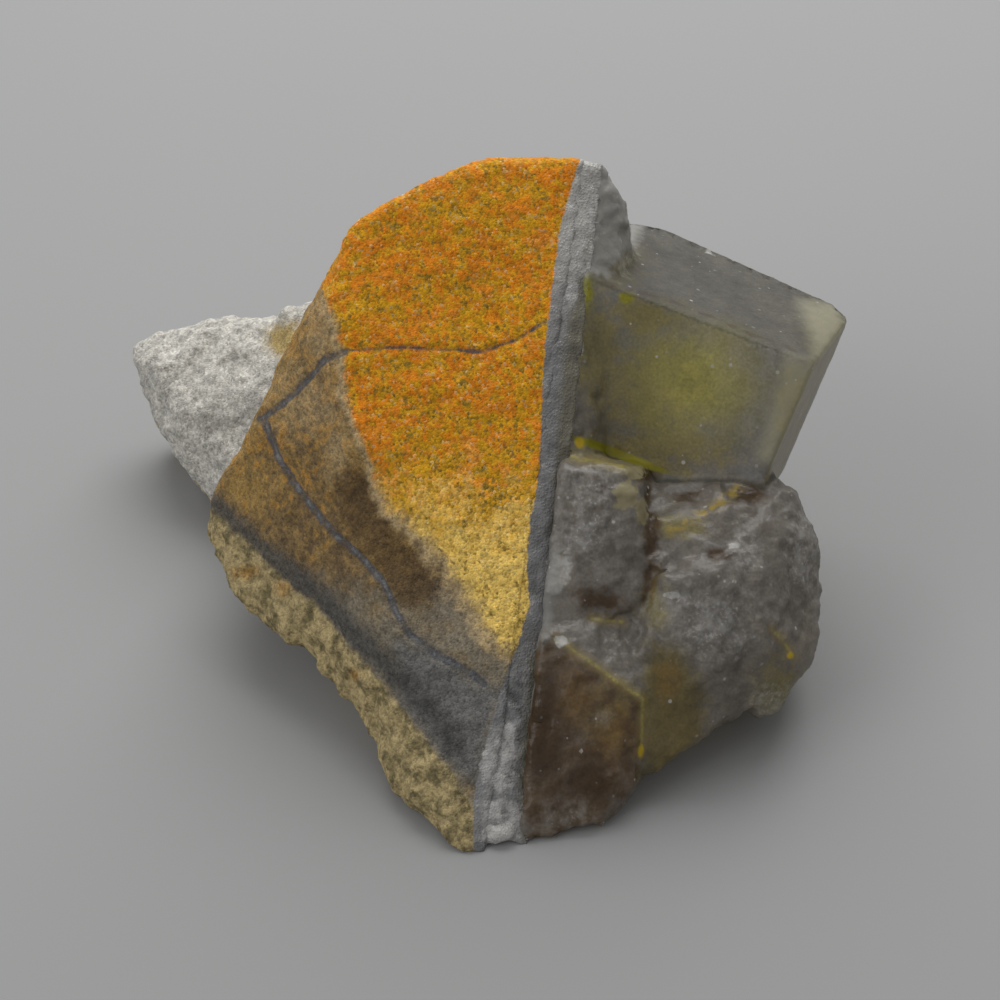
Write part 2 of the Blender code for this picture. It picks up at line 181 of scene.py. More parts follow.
GREENS = [(7.5, 18.4, 0.6, 1.7), (11.0, 17.6, 0.7, 0.5)]
# Painted glows: bright yellow spots where light shines through the crystals' edges
PAINTED_GLOWS = [(12.2, -21.8, 0.35, 0.8), (6.9, 5.0, 0.6, 0.7), (25.2, -13.5, 0.4, 0.4)]
# Frosted patches; the one at (23.5, -17.4) is painted light that lightens the low lobe where it lies in
# shade
FROSTS = [
    (18.6, -10.6, 4.4, 4.2), (15.6, -8.8, 2.6, 1.2), (21.3, -4.4, 1.8, 2.4), (26.4, -4.5, 1.8, 5.0),
    (8.0, 1.2, 3.4, 2.6), (10.8, 22.4, 1.6, 3.4), (7.4, -2.6, 3.4, 3.0), (23.5, -17.4, 2.6, 2.2),
    (10.6, -27.0, 2.0, 1.2), (5.4, -4.6, 1.4, 2.0), (9.0, -19.0, 1.3, 1.0), (6.0, -27.6, 4.0, 2.2),
]
OLIVES = [
    (14.6, -18.4, 3.2, 6.0), (24.2, -16.4, 2.6, 3.0), (9.6, -18.6, 2.6, 3.6), (8.4, 13.0, 3.6, 6.0),
    (13.0, 9.6, 6.4, 6.4),
    (28.4, 14.2, 2.6, 3.4), (25.6, 7.0, 1.8, 5.0), (12.5, 16.0, 4.5, 2.2), (13.5, 4.5, 8.0, 2.6),
    (15.5, -2.2, 3.0, 1.4), (13.5, -9.0, 1.6, 2.6), (10.0, 20.5, 3.4, 3.0),
]
AMBERS = [
    (6.6, -17.4, 2.4, 3.4), (9.8, -20.4, 3.0, 3.4), (14.6, -16.0, 1.6, 3.0), (13.2, -6.6, 0.9, 2.4),
]
# Where the broken crystals are smooth and even
CALM = [(17.5, -10.5, 3.6, 4.0), (9.0, -18.0, 4.0, 5.0)]
DARKS = [
    (3.8, -20.0, 2.0, 6.0), (8.0, -24.4, 2.6, 2.4), (8.6, -8.8, 2.6, 1.6), (13.2, -3.4, 1.0, 3.6),
    (19.2, -4.8, 2.0, 0.7), (12.6, 2.2, 1.6, 0.8), (8.9, 1.0, 1.6, 0.7), (9.4, 4.3, 1.6, 0.5),
    (21.6, 0.4, 1.9, 1.3), (16.4, 0.4, 1.6, 0.8),
]

# Colours of the stone and of the quartz, as shares of the light that they send back
ORANGE = (0.53, 0.160, 0.002)
GOLD = (0.52, 0.265, 0.004)
PALE_GOLD = (0.68, 0.46, 0.11)
OLIVE_PIT = (0.23, 0.145, 0.022)
CREAM = (0.60, 0.50, 0.30)
FRINGE = (0.34, 0.25, 0.13)
BROWN = (0.26, 0.165, 0.052)
DARK_BROWN = (0.13, 0.085, 0.040)
PAINTED_SHADE_BROWN = (0.080, 0.048, 0.019)
RUSTY = (0.29, 0.145, 0.026)
GREY_BEIGE = (0.17, 0.145, 0.105)
DARK_GREY = (0.060, 0.058, 0.054)
LOW_STONE = (0.125, 0.121, 0.114)
TAN = (0.34, 0.265, 0.13)
TAN_DARK = (0.15, 0.12, 0.055)
PALE_STONE = (0.47, 0.45, 0.405)
PALE_DARK = (0.37, 0.355, 0.32)
YELLOW_STONE = (0.34, 0.25, 0.10)
VEIN_DARK = (0.062, 0.064, 0.072)
VEIN_LIGHT = (0.22, 0.22, 0.225)
QUARTZ_TOP = (0.33, 0.32, 0.295)
QUARTZ_MIDDLE = (0.165, 0.161, 0.159)
QUARTZ_WHITE = (0.33, 0.32, 0.305)
# What shines through where the crystals lap over the quartz
LAPPED = (0.125, 0.115, 0.080)

# Colours of the crystals
VIOLET_GREY = (0.31, 0.30, 0.29)
BODY_GREY = (0.30, 0.27, 0.235)
OLIVE = (0.33, 0.28, 0.125)
DARK_OLIVE = (0.095, 0.052, 0.020)
DEEP_BROWN = (0.17, 0.105, 0.052)
DEEP_OLIVE = (0.235, 0.185, 0.070)
AMBER = (0.31, 0.17, 0.032)
SIDE_OLIVE = (0.34, 0.29, 0.15)
CORE_GREEN = (0.66, 0.59, 0.15)
PATCH_GREEN = (0.40, 0.37, 0.02)
FROST = (0.66, 0.65, 0.63)
SPECK = (0.80, 0.79, 0.76)
CRUST = (0.72, 0.70, 0.65)
CRUMB = (0.55, 0.48, 0.28)
PAINTED_GLOW = (0.95, 0.66, 0.01)
PAINTED_LIGHT_YELLOW = (0.62, 0.53, 0.16)
PALE_OLIVE = (0.66, 0.63, 0.44)
STREAK_YELLOW = (0.58, 0.42, 0.09)

# How the crystals let light through
CRYSTAL_CLEARNESS = 0.6
FLUORITE_IOR = 1.434
ABSORBED_COLOUR = (0.74, 0.67, 0.38)
ABSORBED_DENSITY = 120.0

# Roughness, and the sizes of the sand's grains and of the crystals' specks, in millimetres
STONE_ROUGH, QUARTZ_ROUGH = 0.92, 0.42
FROST_ROUGH, CRYSTAL_ROUGH = 0.65, 0.34
SAND_GRAIN = 0.23
SPECK_GRAIN = 0.8

# Floor and light: each lamp's place and size in metres, and its power
FLOOR_REACH = 3.0
FLOOR_GREY = (0.27, 0.27, 0.268)
SKY_GREY = (0.98, 0.99, 1.0)
SKY_STRENGTH = 0.44
LAMPS = {
    "lamp": ((0.04, 0.37, 0.40), 0.50, 3.4),
    "fill": ((-0.44, -0.22, 0.32), 0.40, 1.1),
}

# The noises that one material's colours share, and what each of its grains has
Clouds = namedtuple("Clouds", "broad medium small fine")
Grains = namedtuple("Grains", "middle first second third")


def fade(low, high, value):
    """0 up to low, 1 past high and smooth between them, also where high is the smaller one."""
    share = np.clip((value - low) / (high - low), 0.0, 1.0)
    return share * share * (3 - 2 * share)


def mixed(share, below, above):
    """The first value where the share is 0, the second where it is 1."""
    return below * (1 - share) + above * share


def direction(right, up, toward):
    """A direction of the front view as one of the model."""
    way = VIEW_RIGHT * right + VIEW_UP * up - VIEW_AWAY * toward
    return way / np.linalg.norm(way)


def seen(across, up, depth):
    """The point of the model, in millimetres, that has this reading and depth."""
    spread = (VIEW_DISTANCE + depth) / VIEW_DISTANCE
    point = VIEW_UP * (VIEW_MIDDLE + up * spread) + VIEW_RIGHT * across * spread + VIEW_AWAY * depth
    return point - MIDDLE_OF_FOOT


def eye():
    """Where the front view is seen from, in millimetres."""
    return VIEW_UP * VIEW_MIDDLE - VIEW_AWAY * VIEW_DISTANCE - MIDDLE_OF_FOOT


def swells(points, size, shift=0.0):
    """Smooth noise at these points, about -1 to 1, with swells some size millimetres wide."""
    return np.array([noise.noise(spot) for spot in (points / size + shift).tolist()])


def lumps(points, size):
    """How far each point is from the middle of its lump, as a share of the size of the lumps."""
    return np.array([noise.voronoi(spot)[0][0] for spot in (points / size).tolist()])


def along(spots, line):
    """How far each spot is from a line, and that with a minus to the right of the line's run."""
    line = np.array(line)
    nearest = np.full(len(spots), np.inf)
    sided = np.zeros(len(spots))
    for start, end in zip(line, line[1:]):
        run = end - start
        offset = spots - start
        share = np.clip(offset @ run / (run @ run), 0, 1)
        distance = np.hypot(*(offset - share[:, None] * run).T)
        turn = run[0] * offset[:, 1] - run[1] * offset[:, 0]
        closer = distance < nearest
        nearest[closer] = distance[closer]
        sided[closer] = (np.sign(turn) * distance)[closer]
    return nearest, sided


def inside(spots, corners):
    """How far inside an outline each spot is; below 0 outside it."""
    distance = along(spots, corners + corners[:1])[0]
    odd = np.zeros(len(spots), bool)
    for (x0, y0), (x1, y1) in zip(corners, corners[1:] + corners[:1]):
        if y0 == y1:
            continue
        crosses = (spots[:, 1] > min(y0, y1)) & (spots[:, 1] <= max(y0, y1))
        odd ^= crosses & (spots[:, 0] < x0 + (spots[:, 1] - y0) * (x1 - x0) / (y1 - y0))
    return np.where(odd, distance, -distance)


def patches(spots, places):
    """1 in the middle of a patch, 0 at its edge and below 0 outside all of them."""
    most = np.full(len(spots), -9.0)
    for across, up, reach_across, reach_up in places:
        share = np.hypot((spots[:, 0] - across) / reach_across, (spots[:, 1] - up) / reach_up)
        most = np.maximum(most, 1 - share)
    return most


def wall_side(points, ends):
    """How far to the right of one of the wall's planes each point is, in millimetres."""
    top, bottom = (seen(*end) for end in ends)
    normal = np.cross(bottom - top, WALL_RUN)
    normal /= np.linalg.norm(normal)
    if normal[0] < 0:
        normal = -normal
    return (points - top) @ normal, normal


class Skin:
    """The fine mesh that stands for a solid. Its points and relief are in millimetres."""

    def __init__(self, name, node, cell):
        bm = bmesh.new()
        bm.from_mesh(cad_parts[node].data)
        bmesh.ops.remove_doubles(bm, verts=bm.verts[:], dist=1e-6)
        solid = bpy.data.meshes.new(name + "_solid")
        bm.to_mesh(solid)
        bm.free()
        self.node = node
        self.piece = bpy.data.objects.new(name, solid)
        bpy.context.scene.collection.objects.link(self.piece)
        remesh = self.piece.modifiers.new("Cells", "REMESH")
        remesh.mode = "VOXEL"
        remesh.voxel_size = cell * MM
        bpy.context.view_layer.update()
        shown = self.piece.evaluated_get(bpy.context.evaluated_depsgraph_get())
        self.mesh = bpy.data.meshes.new_from_object(shown)
        self.mesh.name = name
        self.piece.modifiers.clear()
        self.piece.data = self.mesh
        self.points = np.empty((len(self.mesh.vertices), 3))
        self.mesh.vertices.foreach_get("co", self.points.ravel())
        self.points /= MM
        self.neighbours = np.empty((len(self.mesh.edges), 2), np.int32)
        self.mesh.edges.foreach_get("vertices", self.neighbours.ravel())
        self.read_facing()

    def relax(self, give, rounds):
        """Evens the surface out: each point moves towards its neighbours' middle, by its give."""
        one, other = self.neighbours.T
        size = len(self.points)
        count = np.bincount(one, minlength=size) + np.bincount(other, minlength=size)
        for _ in range(rounds):
            for axis in range(3):
                here = self.points[:, axis]
                total = np.bincount(one, here[other], size) + np.bincount(other, here[one], size)
                here += (total / count - here) * give
        self.points[:, 2] = np.maximum(self.points[:, 2], 0.0)
        self.write()

    def read_facing(self):
        """Reads which way the surface faces at each point."""
        self.facing = np.empty_like(self.points)
        self.mesh.vertex_normals.foreach_get("vector", self.facing.ravel())

    def write(self):
        """Puts the points back into the mesh."""
        self.mesh.vertices.foreach_set("co", (self.points * MM).ravel())
        self.mesh.update()
        self.read_facing()

    def facet(self, size, share, tilt, shift):
        """Flattens the surface into tilted facets of this size, each point by its share."""
        homes = [noise.voronoi(spot)[1][0] for spot in (self.points / size + shift).tolist()]
        cells, member = np.unique(np.round(homes, 4), axis=0, return_inverse=True)
        member = member.ravel()
        count = np.bincount(member)[:, None]
        middle = np.stack([np.bincount(member, part) for part in self.points.T], 1) / count
        normal = np.stack([np.bincount(member, part) for part in self.facing.T], 1) / count
        normal += tilt * np.random.default_rng(FACET_SEED).normal(size=cells.shape)
        normal = (normal / np.linalg.norm(normal, axis=1)[:, None])[member]
        offset = ((self.points - middle[member]) * normal).sum(1)
        self.points -= normal * (np.clip(offset, -FACET_REACH, FACET_REACH) * share)[:, None]
        self.points[:, 2] = np.maximum(self.points[:, 2], 0.0)
        self.write()

    def draw_out(self, ends, way):
        """Draws the piece out over the gap at one of the wall's planes: way is 1 to the right."""
        distance, normal = wall_side(self.points, ends)
        pull = fade(SEAM_LENGTH, 0.2, -distance * way)
        self.points += normal * (pull * SEAM_REACH * way)[:, None]
        self.write()

    def read_spots(self):
        """Reads where the front view shows each point, and how deep."""
        reach = self.points + MIDDLE_OF_FOOT - VIEW_UP * VIEW_MIDDLE
        self.depth = reach @ VIEW_AWAY
        spread = (VIEW_DISTANCE + self.depth) / VIEW_DISTANCE
        self.spots = np.stack((reach @ VIEW_RIGHT / spread, reach @ VIEW_UP / spread), 1)

    def look(self):
        """Reads where the front view shows each point, and how well."""
        self.read_spots()
        toward = eye() - self.points
        toward /= np.linalg.norm(toward, axis=1)[:, None]
        facing_eye = (toward * self.facing).sum(1)
        tree = BVHTree.FromPolygons(
            self.points.tolist(), [tuple(face.vertices) for face in self.mesh.polygons]
        )
        starts = (self.points + self.facing * SIGHT_STEP + toward * SIGHT_STEP).tolist()
        free = [tree.ray_cast(start, way)[0] is None for start, way in zip(starts, toward.tolist())]
        self.front = fade(0.0, 0.15, facing_eye) * np.array(free)

    def in_sight(self, values, elsewhere):
        """These values where the front view sees the piece, and the other value where it doesn't."""
        return mixed(self.front, elsewhere, values)

    def push(self, steps):
        """Moves the points out by their steps, but never off the flat foot."""
        self.points += self.facing * (steps * fade(0.0, 0.6, self.points[:, 2]))[:, None]
        self.points[:, 2] = np.maximum(self.points[:, 2], 0.0)
        self.write()

    def mark(self, name, values):
        """Keeps one number for each point, which the material reads."""
        marks = self.mesh.attributes.new(name, "FLOAT", "POINT")
        marks.data.foreach_set("value", values.astype(np.float32))

    def finish(self, material, sharp=180):
        """Puts the piece in the place of its solid."""
        self.mesh.shade_smooth()
        if sharp < 180:
            self.mesh.set_sharp_from_angle(angle=math.radians(sharp))
        self.mesh.materials.clear()
        self.mesh.materials.append(material)
        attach(self.piece, "root")
        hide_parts(self.node)


class Look:
    """One material, whose nodes are made by plain calls. Sizes are in millimetres."""

    def __init__(self, name):
        self.material = bpy.data.materials.new(name)
        self.material.use_nodes = True
        self.nodes = self.material.node_tree.nodes
        self.shader = self.nodes["Principled BSDF"]
        place = self.node("ShaderNodeTexCoord").outputs["Object"]
        scaled = self.node("ShaderNodeVectorMath", operation="SCALE")
        self.feed(scaled.inputs[0], place)
        scaled.inputs["Scale"].default_value = 1 / MM
        self.place = scaled.outputs[0]

    def node(self, kind, **settings):
        """A new node of this kind, with these settings."""
        made = self.nodes.new(kind)
        for name, value in settings.items():
            setattr(made, name, value)
        return made

    def feed(self, socket, value):
        """Links a socket to another one, or sets it to a number or a colour."""
        if isinstance(value, bpy.types.NodeSocket):
            self.material.node_tree.links.new(value, socket)
        elif isinstance(value, tuple) and len(value) == 3 and socket.type == "RGBA":
            socket.default_value = (*value, 1)
        else:
            socket.default_value = value

    def mark(self, name):
        """A number that the mesh keeps for each point."""
        return self.node("ShaderNodeAttribute", attribute_name=name).outputs["Fac"]

    def noise(self, size, detail, shift=0.0):
        """Noise with swells of this size: mostly 0.3 to 0.7."""
        moved = self.node("ShaderNodeVectorMath", operation="ADD")
        self.feed(moved.inputs[0], self.place)
        moved.inputs[1].default_value = (shift, shift * 0.7, -shift)
        made = self.node("ShaderNodeTexNoise")
        self.feed(made.inputs["Vector"], moved.outputs[0])
        made.inputs["Scale"].default_value = 1 / size
        made.inputs["Detail"].default_value = detail
        return made.outputs[0]

    def grains(self, size):
        """Grains of this size: the distance to each grain's middle and three random numbers."""
        made = self.node("ShaderNodeTexVoronoi")
        self.feed(made.inputs["Vector"], self.place)
        made.inputs["Scale"].default_value = 1 / size
        parts = self.node("ShaderNodeSeparateColor")
        self.feed(parts.inputs[0], made.outputs["Color"])
        return Grains(made.outputs["Distance"], *parts.outputs[:3])

    def math(self, operation, first, second):
        """One sum, product or the like of two values."""
        made = self.node("ShaderNodeMath", operation=operation)
        self.feed(made.inputs[0], first)
        self.feed(made.inputs[1], second)
        return made.outputs[0]

    def blend(self, *parts):
        """The sum of some values, each given after its weight."""
        total = 0.0
        for weight, value in parts:
            total = self.math("ADD", self.math("MULTIPLY", value, weight), total)
        return total

    def both(self, first, second):
        """High only where both shares are."""
        return self.math("MULTIPLY", first, second)

    def ramp(self, value, low, high, first=0.0, last=1.0):
        """First below low, last above high and smooth between them."""
        made = self.node("ShaderNodeMapRange", interpolation_type="SMOOTHSTEP")
        for socket, number in zip(made.inputs, (value, low, high, first, last)):
            self.feed(socket, number)
        return made.outputs[0]

    def mix(self, share, below, above):
        """The first colour where the share is 0, the second where it is 1."""
        made = self.node("ShaderNodeMix", data_type="RGBA")
        self.feed(made.inputs[0], share)
        self.feed(made.inputs[6], below)
        self.feed(made.inputs[7], above)
        return made.outputs[2]

    def ragged(self, mark, soft, jitter, size):
        """1 where a mark is over 0, with an edge this soft that wanders by jitter."""
        wander = self.math("SUBTRACT", self.noise(size, 3.0), 0.5)
        return self.ramp(self.blend((1.0, mark), (4 * jitter, wander)), -soft, soft)

    def shaded(self, share, colour, darkest, lightest):
        """The colour, times a number between darkest and lightest by the share."""
        lit = self.ramp(share, 0.0, 1.0, darkest, lightest)
        made = self.node("ShaderNodeVectorMath", operation="SCALE")
        self.feed(made.inputs[0], colour)
        self.feed(made.inputs["Scale"], lit)
        return made.outputs[0]

    def bump(self, height, depth, under=None):
        """Relief finer than the mesh, this many millimetres deep."""
        made = self.node("ShaderNodeBump")
        made.inputs["Distance"].default_value = depth * MM
        self.feed(made.inputs["Height"], height)
        if under is not None:
            self.feed(made.inputs["Normal"], under)
        return made.outputs[0]


def quartz_colour(look):
    """Cloudy grey quartz, paler towards the top, with white chips that are partly painted glints."""
    cloud = look.noise(2.4, 2.0, shift=51)
    crumb = look.noise(0.55, 3.0, shift=31)
    grey = look.mix(look.ramp(look.mark("height"), 12.0, 25.0), QUARTZ_MIDDLE, QUARTZ_TOP)
    grey = look.shaded(look.blend((0.6, cloud), (0.4, crumb)), grey, 0.35, 1.65)
    chip_and_glint = look.ramp(look.blend((1.0, crumb), (0.5, cloud)), 0.93, 1.0, 0.0, 0.8)
    return look.mix(chip_and_glint, grey, QUARTZ_WHITE)


def stained_colour(look, clouds, sand):
    """The stained face: golden, orange in clusters, with olive pits, and paler at its lower end."""
    low = look.mark("low_end")
    warm = look.blend(
        (1.0, clouds.small), (0.7, clouds.medium), (0.4, clouds.broad), (0.2, sand.first), (-0.20, low)
    )
    colour = look.mix(look.ramp(warm, 0.98, 1.30), GOLD, ORANGE)
    pale = look.blend((1.0, low), (1.1, clouds.medium), (0.3, sand.first))
    colour = look.mix(look.ramp(pale, 0.78, 1.60), colour, PALE_GOLD)
    pit = look.blend(
        (1.0, look.noise(0.6, 2.0, shift=71)), (0.6, clouds.medium), (0.15, sand.second)
    )
    colour = look.mix(look.ramp(pit, 0.64, 0.80, 0.80, 0.0), colour, OLIVE_PIT)
    return look.mix(look.ramp(sand.third, 0.92, 0.97, 0.0, 0.32), colour, CREAM)


def brown_colour(look, clouds, sand):
    """The brown face, rusty in patches, with painted shade below the ridge and greyer at its lower end.
    """
    low = look.mark("low_end")
    light = look.blend((0.6, clouds.broad), (0.4, clouds.small))
    colour = look.mix(look.ramp(light, 0.36, 0.62), DARK_BROWN, BROWN)
    grey = look.blend((1.0, low), (0.4, clouds.medium))
    colour = look.mix(look.ramp(grey, 0.95, 1.25), colour, GREY_BEIGE)
    rust = look.blend((1.0, clouds.small), (0.6, clouds.medium), (0.2, sand.first), (-0.3, low))
    colour = look.mix(look.both(look.ramp(rust, 0.82, 1.06), 0.85), colour, RUSTY)
    beige = look.ragged(look.mark("beige"), 0.9, 0.45, 0.9)
    colour = look.mix(look.both(beige, 0.6), colour, FRINGE)
    # painted shade along the steep stretch below the ridge
    shade = look.blend((1.0, look.mark("shade")), (1.5, clouds.medium))
    return look.mix(look.ramp(shade, 0.6, 1.6, 0.0, 0.85), colour, PAINTED_SHADE_BROWN)


def tan_colour(look, clouds):
    """The tan stone of the lower edge, with a few rusty patches."""
    light = look.blend((0.6, clouds.medium), (0.4, clouds.small))
    colour = look.mix(look.ramp(light, 0.38, 0.56), TAN_DARK, TAN)
    rusty = look.ragged(look.mark("tan_orange"), 1.0, 0.6, 0.9)
    return look.mix(look.both(rusty, 0.7), colour, RUSTY)


def pale_colour(look):
    """The pale broken stone, with darker and yellow patches, and stained where it is out of sight."""
    colour = look.mix(look.ramp(look.noise(1.3, 3.0, shift=5), 0.38, 0.60), PALE_DARK, PALE_STONE)
    colour = look.mix(look.ragged(look.mark("pale_dark"), 0.5, 0.3, 0.9), colour, PALE_DARK)
    colour = look.mix(look.ragged(look.mark("yellow"), 0.5, 0.3, 0.9), colour, YELLOW_STONE)
    stains = look.ramp(look.noise(9.0, 2.0, shift=40), 0.50, 0.66)
    return look.mix(look.both(stains, look.mark("hidden")), colour, YELLOW_STONE)


def rock_look(name):
    """Grainy sandstone, stained orange on one face, and the grey quartz that lines it."""
    look = Look(name)
    sand = look.grains(SAND_GRAIN)
    clouds = Clouds(
        broad=look.noise(6.0, 2.0),
        medium=look.noise(1.8, 3.0, shift=11),
        small=look.noise(0.85, 3.0, shift=17),
        fine=look.noise(0.36, 2.0, shift=23),
    )

    # the faces on both sides of the ridge, and a beige fringe between them
    ridge = look.blend(
        (1.0, look.mark("ridge")), (1.6, clouds.medium), (0.8, clouds.small), (-1.2, 1.0)
    )
    colour = look.mix(look.ramp(ridge, -0.9, -0.1), brown_colour(look, clouds, sand), FRINGE)
    colour = look.mix(look.ramp(ridge, -0.3, 0.8), colour, stained_colour(look, clouds, sand))

    # grey stone, tan stone and pale stone
    colour = look.mix(look.ragged(look.mark("low_grey"), 1.2, 0.5, 1.2), colour, LOW_STONE)
    dark = look.ragged(look.both(look.mark("dark_band"), -1.0), 0.8, 0.3, 0.9)
    colour = look.mix(look.both(dark, 0.9), colour, DARK_GREY)
    tan = look.ragged(look.mark("tan"), 0.35, 0.22, 0.9)
    colour = look.mix(tan, colour, tan_colour(look, clouds))
    colour = look.mix(look.ragged(look.mark("broken"), 0.8, 0.5, 1.0), colour, pale_colour(look))

    # every grain is a little lighter or darker than the next
    grainy = look.blend((0.35, sand.second), (0.50, clouds.fine), (0.50, clouds.small), (-0.175, 1.0))
    colour = look.shaded(grainy, colour, 0.45, 1.55)

    # veins with a paler thread in them
    vein = look.ragged(look.both(look.mark("vein"), -1.0), 0.12, 0.12, 0.8)
    vein = look.both(vein, look.ramp(clouds.small, 0.36, 0.52, 0.45, 1.0))
    heart = look.blend((-1.0, look.mark("vein")), (1.2, clouds.small), (-0.6, 1.0))
    vein_colour = look.mix(look.ramp(heart, 0.15, 0.50, 0.0, 0.6), VEIN_DARK, VEIN_LIGHT)
    colour = look.mix(look.both(vein, 0.92), colour, look.shaded(clouds.fine, vein_colour, 0.6, 1.4))

    # quartz past the stone's edge, with the crystals' glow where they lap over it, and white patches
    quartz = look.ragged(look.mark("quartz"), 0.10, 0.12, 0.6)
    colour = look.mix(quartz, colour, quartz_colour(look))
    lapped = look.ragged(look.mark("lapped"), 0.5, 0.30, 0.8)
    colour = look.mix(look.both(lapped, 0.85), colour, look.shaded(clouds.medium, LAPPED, 0.5, 1.5))
    white = look.both(quartz, look.ragged(look.mark("white"), 0.25, 0.30, 0.6))
    colour = look.mix(white, colour, look.shaded(clouds.small, QUARTZ_WHITE, 0.5, 1.5))

    look.feed(look.shader.inputs["Base Color"], colour)
    gloss = look.math("MAXIMUM", quartz, look.both(vein, 0.5))
    look.feed(look.shader.inputs["Roughness"], look.ramp(gloss, 0.0, 1.0, STONE_ROUGH, QUARTZ_ROUGH))
    look.shader.inputs["Specular IOR Level"].default_value = 0.35
    rounded = look.ramp(sand.middle, 0.0, 0.75, 1.0, 0.0)
    coarse = look.bump(look.noise(0.8, 3.0, shift=3), 0.12)
    look.feed(look.shader.inputs["Normal"], look.bump(rounded, 0.05, coarse))
    return look.material


def zoned_colour(look, clouds, wander, brown):
    """The crystals' zones: cloudy outside, olive deeper down and green round the big cube's core; the
    big cube's top faces are painted darker, a painted shade against the light that falls on them.
    """
    colour = look.mix(look.mark("cube"), BODY_GREY, VIOLET_GREY)
    olive = look.ramp(look.blend((1.0, look.mark("olive")), (1.6, wander)), -0.2, 0.75)
    colour = look.mix(olive, colour, OLIVE)
    colour = look.mix(look.both(look.mark("side"), 0.8), colour, SIDE_OLIVE)
    patchy = look.ramp(clouds.medium, 0.35, 0.65, 1.0, 0.55)
    colour = look.mix(look.both(brown, patchy), colour, DEEP_BROWN)
    deep = look.ragged(look.mark("deep"), 0.9, 0.4, 1.2)
    colour = look.mix(look.both(deep, 0.85), colour, DEEP_OLIVE)
    colour = look.mix(look.both(look.mark("dimmed_top"), 0.35), colour, SIDE_OLIVE)
    amber = look.blend((1.0, look.mark("amber")), (1.6, wander))
    colour = look.mix(look.ramp(amber, -0.1, 0.9, 0.0, 0.50), colour, AMBER)
    swell = look.math("SUBTRACT", clouds.broad, 0.5)
    core = look.blend((1.0, look.mark("core")), (7.0, swell), (2.0, wander))
    colour = look.mix(look.ramp(core, 0.5, 8.0, 0.85, 0.0), colour, CORE_GREEN)
    colour = look.mix(look.ragged(look.mark("green"), 0.5, 0.3, 0.8), colour, PATCH_GREEN)
    dark = look.blend((1.0, look.mark("dark")), (1.6, wander))
    colour = look.mix(look.ramp(dark, -0.1, 0.75, 0.0, 0.95), colour, DARK_OLIVE)
    smoke = look.blend((0.45, clouds.broad), (0.35, clouds.medium), (0.20, clouds.small))
    colour = look.shaded(smoke, colour, 0.30, 1.70)
    # painted shade: the big cube's top faces are darkened against the light that falls on them
    return look.shaded(look.mark("dimmed_top"), colour, 1.0, 0.45)


def frost_share(look, clouds, wander, brown):
    """Where the crystals are frosted, in clouds and in sugary specks."""
    frosted = look.ramp(look.blend((1.0, look.mark("frost")), (1.5, wander)), -0.1, 0.9)
    frosted = look.both(frosted, look.ramp(brown, 0.0, 1.0, 1.0, 0.45))
    cloud = look.both(frosted, look.ramp(clouds.small, 0.36, 0.70, 0.12, 0.55))
    sugar = look.both(frosted, look.ramp(clouds.fine, 0.56, 0.66, 0.0, 0.7))
    return look.math("MAXIMUM", cloud, sugar)


def with_streaks(look, clouds, colour):
    """The colour, with a yellow streak, pale lines and glows of painted light where light comes through
    the crystals' edges and a crack, crumbs, a painted shade along the big cube's top edge and a dark
    far edge on it.
    """
    broken_up = look.ramp(look.noise(0.9, 3.0, shift=61), 0.40, 0.56)
    streak = look.ragged(look.mark("streak"), 0.40, 0.30, 0.7)
    colour = look.mix(look.both(streak, broken_up), colour, STREAK_YELLOW)
    # painted light: a soft yellow halo and a pale yellow line along the crystals' lit edges and crack
    halo = look.ramp(look.mark("painted_light_line"), -0.7, 0.1, 0.0, 0.35)
    colour = look.mix(halo, colour, STREAK_YELLOW)
    line = look.ragged(look.mark("painted_light_line"), 0.10, 0.06, 0.5)
    colour = look.mix(look.both(line, look.ramp(broken_up, 0.0, 1.0, 0.35, 1.0)), colour, PAINTED_LIGHT_YELLOW)
    colour = look.mix(look.ragged(look.mark("sliver"), 0.12, 0.05, 0.5), colour, PATCH_GREEN)
    strip = look.ragged(look.mark("strip"), 0.9, 0.20, 1.2)
    colour = look.mix(look.both(strip, 0.55), colour, PALE_OLIVE)
    colour = look.mix(look.ragged(look.mark("crumb"), 0.15, 0.35, 0.7), colour, CRUMB)
    # painted light: a yellow glow of light through the crystals' edges
    colour = look.mix(look.ramp(look.mark("glow"), 0.0, 0.6), colour, PAINTED_GLOW)
    white = look.ragged(look.mark("white"), 0.15, 0.30, 0.6)
    colour = look.mix(look.both(white, look.ramp(clouds.small, 0.36, 0.56, 0.5, 1.0)), colour, CRUST)
    # painted shade: a faint dark line along the big cube's front top edge, which damps the sheen that
    # the rounded edge catches
    edge = look.ramp(look.mark("edge"), 0.06, 0.22, 1.0, 0.0)
    faint = look.ramp(clouds.medium, 0.40, 0.60, 0.6, 0.1)
    colour = look.mix(look.both(edge, faint), colour, DARK_OLIVE)
    far_edge = look.ramp(look.mark("far_edge"), 0.10, 0.36, 1.0, 0.0)
    faint = look.ramp(clouds.small, 0.45, 0.60, 0.85, 0.1)
    return look.mix(look.both(far_edge, faint), colour, DARK_OLIVE)


def with_specks(look, clouds, colour):
    """The colour, with white specks on it, each in its own grain."""
    grain = look.grains(SPECK_GRAIN)
    dot = look.ramp(look.blend((1.0, grain.middle), (0.30, grain.second)), 0.18, 0.28, 1.0, 0.0)
    some = look.ramp(look.blend((1.0, grain.first), (0.8, clouds.medium)), 1.08, 1.14)
    speck = look.both(dot, some)
    return look.mix(look.both(speck, look.ramp(grain.third, 0.0, 1.0, 0.25, 1.0)), colour, SPECK)


